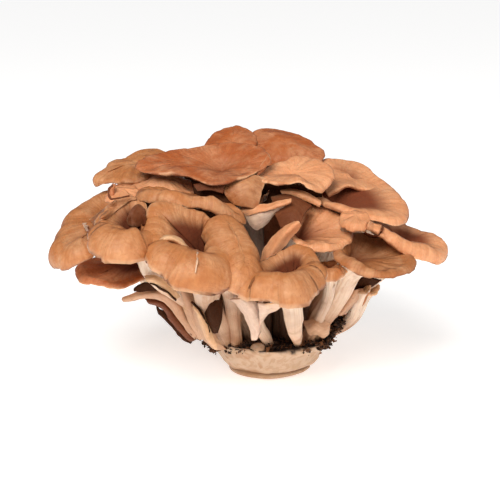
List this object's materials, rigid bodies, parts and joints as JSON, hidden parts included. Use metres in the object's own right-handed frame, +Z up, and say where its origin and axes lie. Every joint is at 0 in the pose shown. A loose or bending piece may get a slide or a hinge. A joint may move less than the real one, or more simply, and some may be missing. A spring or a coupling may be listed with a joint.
{
  "type": "maitake mushroom",
  "caption": "Dense cluster of ruffled, funnel-shaped mushroom fronds with rolled margins on white stems, rising from one pale base that is cut flat underneath.",
  "frame": {"origin": "centre of the base's flat cut face", "axes": "+Z up out of the base, +X along the cluster's long way towards its right-hand side, -Y towards its front"},
  "size_m": [0.195, 0.1769, 0.113],
  "materials": {
    "amber_cap": "matt, faintly waxy",
    "brown_cap": "matt",
    "tan_cap": "matt",
    "cream_leaf": "matt",
    "mycelium": "matt, felted",
    "crumbs": "rough"
  },
  "bodies": {
    "root": {"mycelium_base": "mycelium", "frond_left_drooping": "amber_cap", "frond_left_funnel": "amber_cap", "frond_front_left_funnel": "amber_cap", "frond_low_left": "brown_cap", "frond_knot": "tan_cap", "frond_upper_left": "tan_cap", "frond_top_left": "brown_cap", "frond_long_lip": "amber_cap", "frond_centre_lobe": "amber_cap", "frond_front_funnel": "amber_cap", "frond_inner_sheet": "tan_cap", "frond_spur": "tan_cap", "frond_blade": "tan_cap", "frond_mid_right_funnel": "tan_cap", "frond_right_small": "amber_cap", "frond_right_cup": "brown_cap", "frond_small_band": "amber_cap", "frond_far_right": "tan_cap", "frond_right_fan": "tan_cap", "frond_mid_right_wing": "brown_cap", "frond_top_wing": "brown_cap", "frond_top_back_small": "brown_cap", "frond_top_back_right": "brown_cap", "frond_back_left": "brown_cap", "frond_back_middle": "brown_cap", "frond_back_right": "brown_cap", "frond_far_back_right": "brown_cap", "frond_low_back_left": "brown_cap", "frond_low_back": "brown_cap", "frond_low_back_right": "brown_cap", "leaf_left_tip": "cream_leaf", "leaf_left_long": "cream_leaf", "leaf_left_inner": "cream_leaf", "leaf_front_flap": "cream_leaf", "leaf_right_outer": "cream_leaf", "leaf_right_inner": "cream_leaf", "leaf_back_right": "cream_leaf", "substrate_front": "crumbs", "substrate_front_right": "crumbs", "substrate_right": "crumbs", "substrate_back": "crumbs", "mycelium_knob": "mycelium"}
  },
  "joints": []
}
